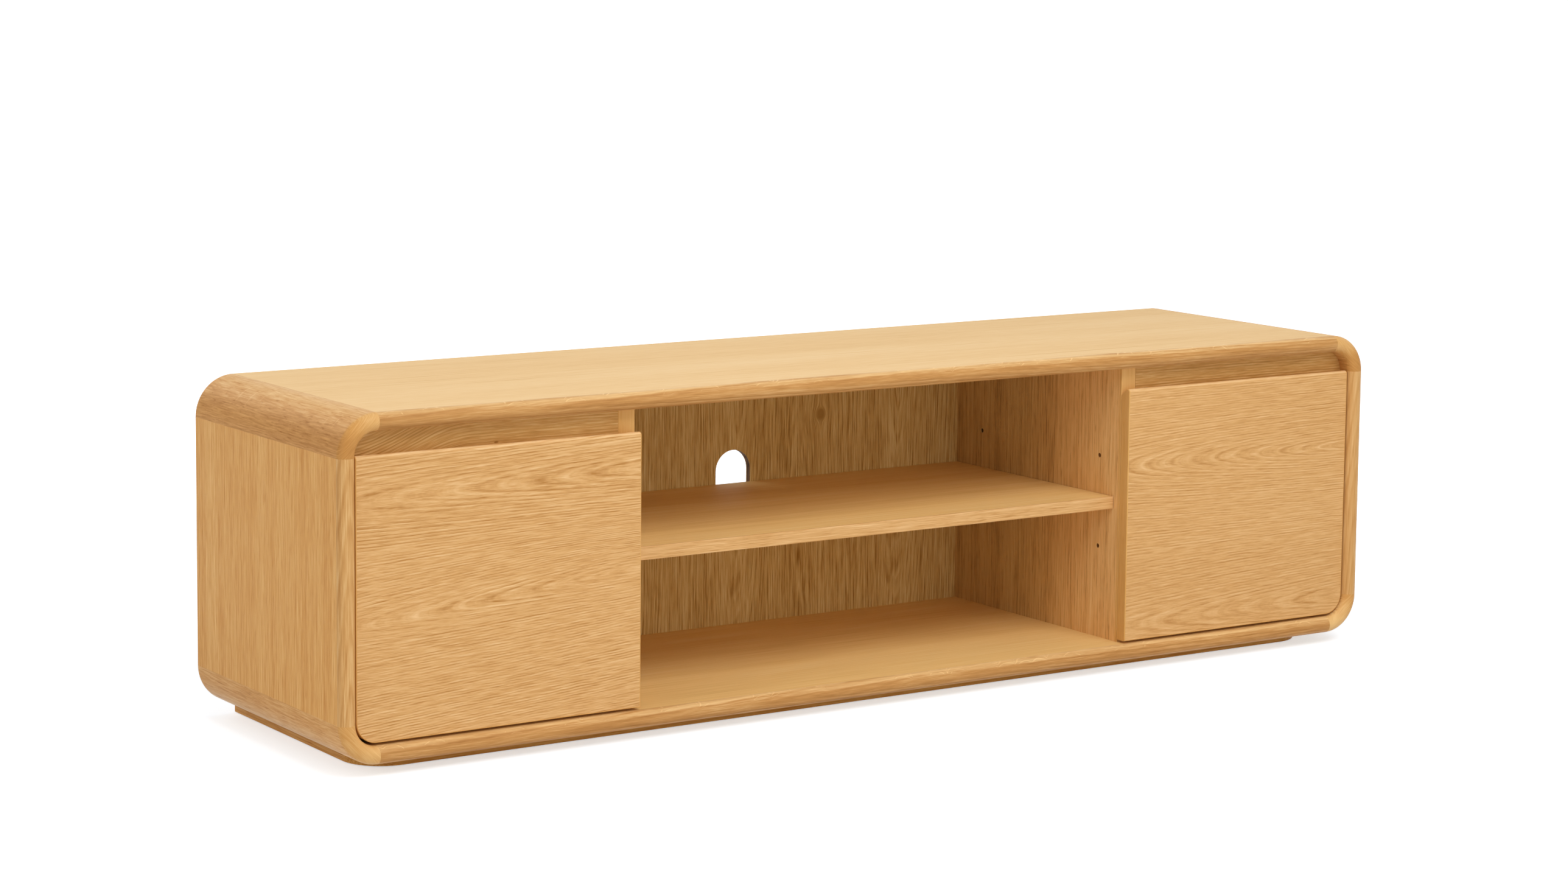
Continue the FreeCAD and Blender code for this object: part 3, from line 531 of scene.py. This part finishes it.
def back_oak():
    """Upright grain of the back: fine even lines round tall narrow figures, and one knot."""
    oak = Oak("oak_back", "Z", "X", 8.0, bend=0.012, ripple=0.0012)
    knot = oak.knot(*BACK_KNOT)
    uneven = oak.about(oak.field(1.2, 40.0, detail=2.0, salt=9.0), 0.012)
    distances = [oak.arches(*figure)[0] for figure in BACK_FIGURES]
    nearest = distances[0]
    for distance in distances[1:]:
        nearest = oak.math("MINIMUM", nearest, distance)
    nearest = oak.add(nearest, uneven)
    ring = oak.rings(nearest, spacing=0.0045)
    line = oak.field(7.0, 520.0, detail=2.0, roughness=0.6, salt=7.0, follow=nearest)
    hair = oak.field(20.0, 800.0, detail=3.0, roughness=0.65, salt=11.0)
    gap = oak.field(10.0, 230.0, detail=2.0, salt=13.0)
    cloud = oak.field(1.8, 16.0, detail=2.0, salt=17.0)
    wood = oak.add(
        0.52,
        oak.times(oak.about(ring, 0.50), oak.span(gap, 0.35, 0.6, 0.50, 1.10)),
        oak.about(line, 0.80),
        oak.about(hair, 2.30),
        oak.about(cloud, 0.40),
    )
    knot_wood = oak.add(0.16, oak.about(hair, 0.25), oak.about(cloud, 0.3))
    grain = oak.between(knot, wood, knot_wood)
    low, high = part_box("center_back_panel")
    # Painted shade on the cut edges, the walls of the cable slot among them.
    shaded_cut_edge = oak.under_skin(oak.axes["Y"], low[1], high[1])
    faces = oak.with_rear(grain, BACK_TONES, BACK_REAR_TONES)
    colour = oak.mix(shaded_cut_edge, faces, oak.ramp(grain, CUT_EDGE_SHADE_TONES))
    return oak.finish(grain, colour, 0.00035, roughness=0.62)


def rail_oak(name, seed, climb=0.0, knot_at=None):
    """A rail over a door: level grain, with a climb at its outer end and a small knot if given."""
    oak = Oak(name, "X", "Z", seed, bend=0.012, ripple=0.0016)
    knot = oak.knot(*knot_at, radius=0.0014, stretch=2.4) if knot_at else 0.0
    if climb:
        oak.across = oak.subtract(oak.across, oak.span(oak.along, *RAIL_CLIMB_SPAN, 0.0, climb))
    ring = oak.rings(oak.across, spacing=0.0040)
    dash = oak.field(30.0, 600.0, detail=2.0, roughness=0.65, salt=11.0)
    cloud = oak.field(4.0, 30.0, detail=2.0, salt=17.0)
    grain = oak.add(
        0.52,
        oak.times(oak.about(ring, 0.85), oak.span(dash, 0.35, 0.6, 0.4, 1.1)),
        oak.about(dash, 1.10),
        oak.about(cloud, 0.36),
        oak.times(knot, -0.55),
    )
    return oak.finish(grain, RAIL_TONES, 0.0003)


def post_oak():
    """Corner posts: dark dashes along the depth, and a few bowed pale rays across them."""
    oak = Post("oak_corner", 4.0, bend=0.006, ripple=0.0008)
    dash = oak.field(30.0, 560.0, 200.0, detail=2.0, roughness=0.6, salt=11.0)
    hair = oak.field(26.0, 900.0, 360.0, detail=3.0, roughness=0.6, salt=13.0)
    tick = oak.span(oak.field(60.0, 900.0, 300.0, detail=1.0, salt=15.0), 0.60, 0.72)
    cloud = oak.field(2.0, 20.0, 20.0, detail=2.0, salt=17.0)
    layer = oak.field(6.0, 800.0, 40.0, detail=3.0, roughness=0.6, salt=19.0)
    crosswise = oak.subtract(oak.through, oak.arc_middle)
    bowed = oak.add(oak.along, oak.times(crosswise, crosswise, 9.0), oak.about(cloud, 0.02))
    fleck = oak.times(
        oak.strokes(bowed, spacing=0.009, width=0.0008, salt=2.0),
        oak.span(oak.field(7.0, 12.0, 34.0, detail=1.0, salt=21.0), 0.54, 0.62),
        oak.span(crosswise, -0.010, 0.016, 1.0, 0.2),
    )
    lengthwise = oak.add(
        oak.about(dash, 0.36),
        oak.about(hair, 0.90),
        oak.times(tick, -0.16),
        oak.times(fleck, 0.40),
    )
    past_nose = oak.span(oak.axes["Y"], *POST_NOSE)
    # Painted light: the posts are made paler where they turn to their top and bottom faces, and darker
    # where they turn to the sides.
    painted_light_by_arc = oak.span(crosswise, -0.03, 0.03, 0.15, -0.15)
    paler_low_post = oak.span(oak.axes["Z"], 0.10, 0.40, 0.16, 0.0)
    grain = oak.add(
        0.50,
        oak.about(cloud, 0.40),
        painted_light_by_arc,
        paler_low_post,
        oak.between(past_nose, oak.about(layer, 0.60), lengthwise),
    )
    return oak.finish(grain, POST_TONES, 0.00025)


def level_edge_oak(name, seed, box):
    """A rounded front edge: flowing level grain, thin pale crescents on its shoulder, and painted light
    that makes its upper shoulder paler.
    """
    oak = Oak(name, "X", "Z", seed, bend=0.020, ripple=0.0020)
    level = 0.5 * (box[0][2] + box[1][2])
    distance, square = oak.arches(centre=level, tilt=0.0, depth=0.006, lean=0.012, origin=0.0)
    ring = oak.rings(distance, spacing=0.0044)
    dash = oak.field(30.0, 700.0, detail=3.0, roughness=0.6, salt=11.0)
    cloud = oak.field(6.0, 60.0, detail=2.0, salt=17.0)
    step = 0.031            # from one place that may hold crescents to the next
    count = oak.math("DIVIDE", oak.along, step)
    cell = oak.math("FLOOR", count)
    middle = oak.span(oak.random(oak.add(cell, 0.3)), 0.0, 1.0, 0.35, 0.65)
    aside = oak.times(oak.subtract(oak.math("FRACT", count), middle), 0.8 * step)
    reach = oak.root_of_squares(oak.times(aside, 0.7), oak.subtract(oak.axes["Z"], level - 0.001))
    uneven_reach = oak.add(reach, oak.about(cloud, 0.010))
    crescent = oak.strokes(uneven_reach, spacing=0.0027, width=0.0005, salt=5.0)
    shown = oak.times(
        oak.span(oak.random(cell), 0.45, 0.60),
        oak.span(oak.axes["Z"], level + 0.005, level + 0.008),
        oak.span(oak.field(40.0, 120.0, detail=1.0, salt=25.0), 0.42, 0.52),
    )
    # Painted light: the upper shoulder of the rounded edge is made paler, as where the light falls on
    # it.
    painted_light = oak.span(oak.axes["Z"], level + 0.004, level + 0.012, 0.0, 0.30)
    grain = oak.add(
        0.48,
        oak.times(oak.about(ring, 0.45), oak.span(square, 0.0, 0.8, 0.4, 1.0)),
        oak.about(dash, 0.80),
        oak.about(cloud, 0.36),
        oak.times(crescent, shown, 0.32),
        painted_light,
    )
    return oak.finish(grain, LEVEL_EDGE_SHADE_TONES, 0.00025)


def upright_edge_oak(name, seed, box, contrast):
    """An upright front edge: flowing streaks that close into a flame near its foot."""
    oak = Oak(name, "Z", "X", seed, bend=0.026, ripple=0.0016)
    middle = 0.5 * (box[0][0] + box[1][0])
    distance, square = oak.arches(centre=middle, tilt=0.01, depth=0.012, lean=-0.05, origin=0.16)
    ring = oak.rings(distance, spacing=0.0036)
    dash = oak.field(20.0, 760.0, detail=3.0, roughness=0.6, salt=11.0)
    cloud = oak.field(3.0, 90.0, detail=2.0, salt=17.0)
    grain = oak.add(
        0.50,
        oak.times(oak.about(ring, 0.45 * contrast), oak.span(square, 0.0, 0.8, 0.5, 1.0)),
        oak.about(dash, 1.00 * contrast),
        oak.about(cloud, 0.35 * contrast),
    )
    return oak.finish(grain, EDGE_TONES, 0.00025)


def make_oaks():
    """Oak finishes, by slot or by node where one slot needs several."""
    divider_low, divider_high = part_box("right_divider")
    divider_faces = (divider_low[0], divider_high[0])
    upright = rift_oak("oak_divider_edging", "Z", "X", 14.0, STRIP_TONES, contrast=0.35)
    level = rift_oak("oak_shelf_edging", "X", "Z", 15.0, DOOR_TONES)
    left_door = leaf_oak(
        "oak_left_door", 21.0, LEFT_DOOR_UPPER, LEFT_DOOR_LOWER, split=0.290, contrast=0.90
    )
    right_door = leaf_oak(
        "oak_right_door", 22.0, RIGHT_DOOR_UPPER, RIGHT_DOOR_LOWER, split=0.190, contrast=0.70
    )
    finishes = {
        "oak_top": top_oak(),
        "oak_bottom": shelf_oak("oak_bottom", 2.0),
        "oak_side": rift_oak("oak_side", "Z", "Y", 3.0, SIDE_TONES, contrast=0.95, streaks=0.70),
        "oak_corner": post_oak(),
        "oak_divider": rift_oak(
            "oak_divider", "Z", "Y", 6.0, DIVIDER_TONES, contrast=0.9, depth=0.0003,
            faces=divider_faces, painted_light_front_tones=DIVIDER_PAINTED_LIGHT_TONES,
        ),
        "oak_back": back_oak(),
        "oak_shelf": shelf_oak("oak_shelf", 9.0),
        "oak_plinth": rift_oak("oak_plinth", "X", "Z", 10.0, SIDE_TONES),
        "left_top_rail": rail_oak("oak_left_rail", 7.0, RAIL_CLIMB, RAIL_KNOT),
        "right_top_rail": rail_oak("oak_right_rail", 7.5),
        "left_front_edge": upright_edge_oak("oak_left_edge", 12.0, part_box("left_front_edge"), 1.0),
        "right_front_edge": upright_edge_oak("oak_right_edge", 13.5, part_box("right_front_edge"), 0.7),
    }
    for place, seed in (("top", 8.0), ("bottom", 11.0)):
        node = f"{place}_front_edge"
        finishes[node] = level_edge_oak(f"oak_{place}_edge", seed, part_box(node))
    for side, door in (("left", left_door), ("right", right_door)):
        finishes[f"{side}_divider_edging"] = upright
        finishes[f"plinth_{side}_rail"] = rift_oak(f"oak_plinth_{side}", "Y", "Z", 16.0, SIDE_TONES)
        finishes[f"{side}_door_panel"] = door
        finishes[f"{side}_door_lipping"] = door
        finishes[f"{side}_door_edging"] = upright
    for shelf in ("center", "left", "right"):
        finishes[f"{shelf}_shelf_edging"] = level
    return finishes


# ---------------------------------------------------------------- small parts
PLYWOOD_TONES = ramp_of((150, 112, 74), (206, 170, 124), (228, 200, 158))
BEECH_TONES = ramp_of((152, 104, 70), (214, 172, 130), (232, 198, 160))
ZINC_TONES = ramp_of((120, 120, 116), (178, 178, 172), (214, 214, 208))
PIN_TONES = ramp_of((136, 130, 120), (192, 186, 176), (222, 218, 208))
HINGE_TONES = ramp_of((130, 126, 118), (188, 184, 176), (220, 217, 210))
FELT_TONES = ramp_of((52, 38, 28), (92, 70, 52), (132, 106, 84))
BUMPER_TONES = ramp_of((176, 172, 162), (206, 203, 194), (224, 222, 214))

PLY_PAIR = 0.0024           # thickness of one lengthwise ply and one crosswise one


def plywood():
    """Thin alternating plies of the hidden corner tongues."""
    ply = Graph("plywood")
    layer = ply.math("FRACT", ply.math("DIVIDE", ply.object_axes()["Z"], PLY_PAIR))
    crossed = ply.span(ply.math("ABSOLUTE", ply.subtract(layer, 0.5)), 0.22, 0.28)
    long_fibre = ply.stretched_noise((900.0, 20.0, 1.0))
    cut_fibre = ply.stretched_noise((60.0, 900.0, 1.0))
    grain = ply.between(crossed, ply.add(long_fibre, 0.08), ply.subtract(cut_fibre, 0.12))
    ply.paint(grain, PLYWOOD_TONES)
    ply.polish(grain, 0.80, 0.55)
    ply.bump(grain, 0.0002, WOOD_RELIEF)
    return ply.material


def beech():
    """Beech of the dowels, with its short brown flecks."""
    wood = Graph("beech_dowel")
    fibre = wood.stretched_noise((60.0, 700.0, 700.0), detail=3.0)
    fleck = wood.span(wood.stretched_noise((36.0, 420.0, 420.0), detail=0.0), 0.62, 0.72)
    grain = wood.subtract(fibre, wood.times(fleck, 0.3))
    wood.paint(grain, BEECH_TONES)
    wood.polish(grain, 0.70, 0.45)
    wood.bump(grain, 0.0002, WOOD_RELIEF)
    return wood.material


def metal(name, tones, roughness, clouds):
    """Plated steel, dull where it is dark, with fine brushing and so many clouds per metre."""
    plate = Graph(name)
    brushed = plate.stretched_noise((2400.0, 300.0, 3000.0), detail=3.0)
    cloud = plate.noise(plate.object_point(), detail=3.0, scale=clouds)
    grain = plate.add(0.5, plate.about(brushed, 0.6), plate.about(cloud, 0.9))
    plate.paint(grain, tones)
    plate.polish(grain, roughness + 0.14, roughness - 0.08)
    plate.shader.inputs["Metallic"].default_value = 1.0
    plate.bump(brushed, 0.00004, 0.5)
    return plate.material


def felt():
    """Pressed brown felt under the plinth."""
    pad = Graph("felt")
    tuft = pad.noise(pad.object_point(), detail=4.0, roughness=0.7, scale=900.0)
    cloud = pad.noise(pad.object_point(), detail=2.0, scale=120.0)
    pad.paint(pad.add(0.5, pad.about(tuft, 0.9), pad.about(cloud, 0.5)), FELT_TONES)
    pad.polish(tuft, 1.0, 0.80)
    pad.shader.inputs["Sheen Weight"].default_value = 0.4
    pad.bump(tuft, 0.0005, 0.8)
    return pad.material


def bumper():
    """Soft milky dots that quiet the doors."""
    dot = Graph("bumper")
    cloud = dot.noise(dot.object_point(), detail=3.0, scale=400.0)
    dot.paint(cloud, BUMPER_TONES)
    dot.polish(cloud, 0.50, 0.22)
    dot.shader.inputs["Subsurface Weight"].default_value = 0.3
    dot.shader.inputs["Subsurface Scale"].default_value = 0.002
    dot.bump(cloud, 0.00005, 0.5)
    return dot.material


def make_small_finishes():
    """Finishes of the hidden woods, the metals and the soft dots, by slot."""
    return {
        "plywood": plywood(),
        "beech_dowel": beech(),
        "zinc_screw": metal("zinc_screw", ZINC_TONES, roughness=0.36, clouds=91.0),
        "nickel_pin": metal("nickel_pin", PIN_TONES, roughness=0.26, clouds=92.0),
        "nickel_hinge": metal("nickel_hinge", HINGE_TONES, roughness=0.24, clouds=93.0),
        "felt": felt(),
        "bumper": bumper(),
    }


def dress(finishes):
    """Puts a finish on every CAD node: its own where it has one, or else its slot's."""
    for part in frame["record"]["subparts"]:
        finish = finishes.get(part["node"]) or finishes[part["material_slot"]]
        for slot in frame["nodes"][part["node"]].material_slots:
            slot.material = finish


# ---------------------------------------------------------------- studio
def seen_rays(tree):
    """1 for rays from the camera, in reflections and through glass, and 0 for the others."""
    path = tree.nodes.new("ShaderNodeLightPath")
    share = path.outputs["Is Camera Ray"]
    for ray in ("Is Glossy Ray", "Is Transmission Ray"):
        either = tree.nodes.new("ShaderNodeMath")
        either.operation = "MAXIMUM"
        tree.links.new(share, either.inputs[0])
        tree.links.new(path.outputs[ray], either.inputs[1])
        share = either.outputs[0]
    return share


def make_floor():
    """A white floor that keeps the cabinet's shadow and runs out of sight into the background."""
    mesh = bpy.data.meshes.new("floor")
    half = FLOOR_HALF
    corners = [(-half, -half, 0.0), (half, -half, 0.0), (half, half, 0.0), (-half, half, 0.0)]
    mesh.from_pydata(corners, [], [(0, 1, 2, 3)])
    floor = bpy.data.objects.new("floor", mesh)
    bpy.context.scene.collection.objects.link(floor)
    graph = Graph("floor_white")
    graph.tree.nodes.remove(graph.shader)
    axes = graph.object_axes()
    distance = graph.root_of_squares(axes["X"], axes["Y"])
    plain = graph.node("ShaderNodeBsdfDiffuse")
    plain.inputs["Color"].default_value = FLOOR_COLOUR
    shade = graph.node("ShaderNodeBsdfDiffuse")
    shade.inputs["Color"].default_value = FLOOR_SEEN_COLOUR
    glow = graph.node("ShaderNodeEmission")
    graph.put(glow.inputs["Strength"], graph.span(distance, *GLOW_SPAN, *GLOW_RANGE))
    seen = graph.node("ShaderNodeAddShader")
    graph.put(seen.inputs[0], shade.outputs[0])
    graph.put(seen.inputs[1], glow.outputs[0])
    choose = graph.node("ShaderNodeMixShader")
    graph.put(choose.inputs["Fac"], seen_rays(graph.tree))
    graph.put(choose.inputs[1], plain.outputs[0])
    graph.put(choose.inputs[2], seen.outputs[0])
    graph.put(graph.tree.nodes["Material Output"].inputs["Surface"], choose.outputs[0])
    mesh.materials.append(graph.material)


def make_world():
    """White all round where it is seen, and a dimmer even light on everything."""
    world = bpy.data.worlds.new("studio")
    bpy.context.scene.world = world
    world.use_nodes = True
    tree = world.node_tree
    white = tree.nodes.new("ShaderNodeBackground")
    light = tree.nodes["Background"]
    for background, strength in ((white, 1.0), (light, WORLD_LIGHT)):
        background.inputs["Color"].default_value = grey(1.0)
        background.inputs["Strength"].default_value = strength
    choose = tree.nodes.new("ShaderNodeMixShader")
    tree.links.new(seen_rays(tree), choose.inputs["Fac"])
    tree.links.new(light.outputs[0], choose.inputs[1])
    tree.links.new(white.outputs[0], choose.inputs[2])
    tree.links.new(choose.outputs[0], tree.nodes["World Output"].inputs["Surface"])


def make_lamps():
    """Large soft lamps, all aimed at the cabinet."""
    for name, (place, width, height, power) in LAMPS.items():
        data = bpy.data.lights.new(name, "AREA")
        data.shape = "RECTANGLE"
        data.size = width
        data.size_y = height
        data.energy = power
        lamp = bpy.data.objects.new(name, data)
        lamp.location = place
        lamp.rotation_euler = (LAMP_AIM - lamp.location).to_track_quat("-Z", "Y").to_euler()
        bpy.context.scene.collection.objects.link(lamp)


def make_camera():
    """The photograph's viewing angle."""
    data = bpy.data.cameras.new("camera")
    data.lens = CAMERA_LENS
    data.shift_x, data.shift_y = CAMERA_SHIFT
    camera = bpy.data.objects.new("camera", data)
    turn = (
        Matrix.Rotation(math.radians(-CAMERA_YAW), 4, "Z")
        @ Matrix.Rotation(math.radians(90.0 - CAMERA_PITCH), 4, "X")
        @ Matrix.Rotation(math.radians(CAMERA_ROLL), 4, "Z")
    )
    camera.matrix_world = Matrix.Translation(CAMERA_PLACE) @ turn
    bpy.context.scene.collection.objects.link(camera)
    bpy.context.scene.camera = camera


make_camera()
make_world()
make_lamps()
make_floor()
dress(make_oaks() | make_small_finishes())
bpy.context.scene.view_settings.view_transform = "Standard"
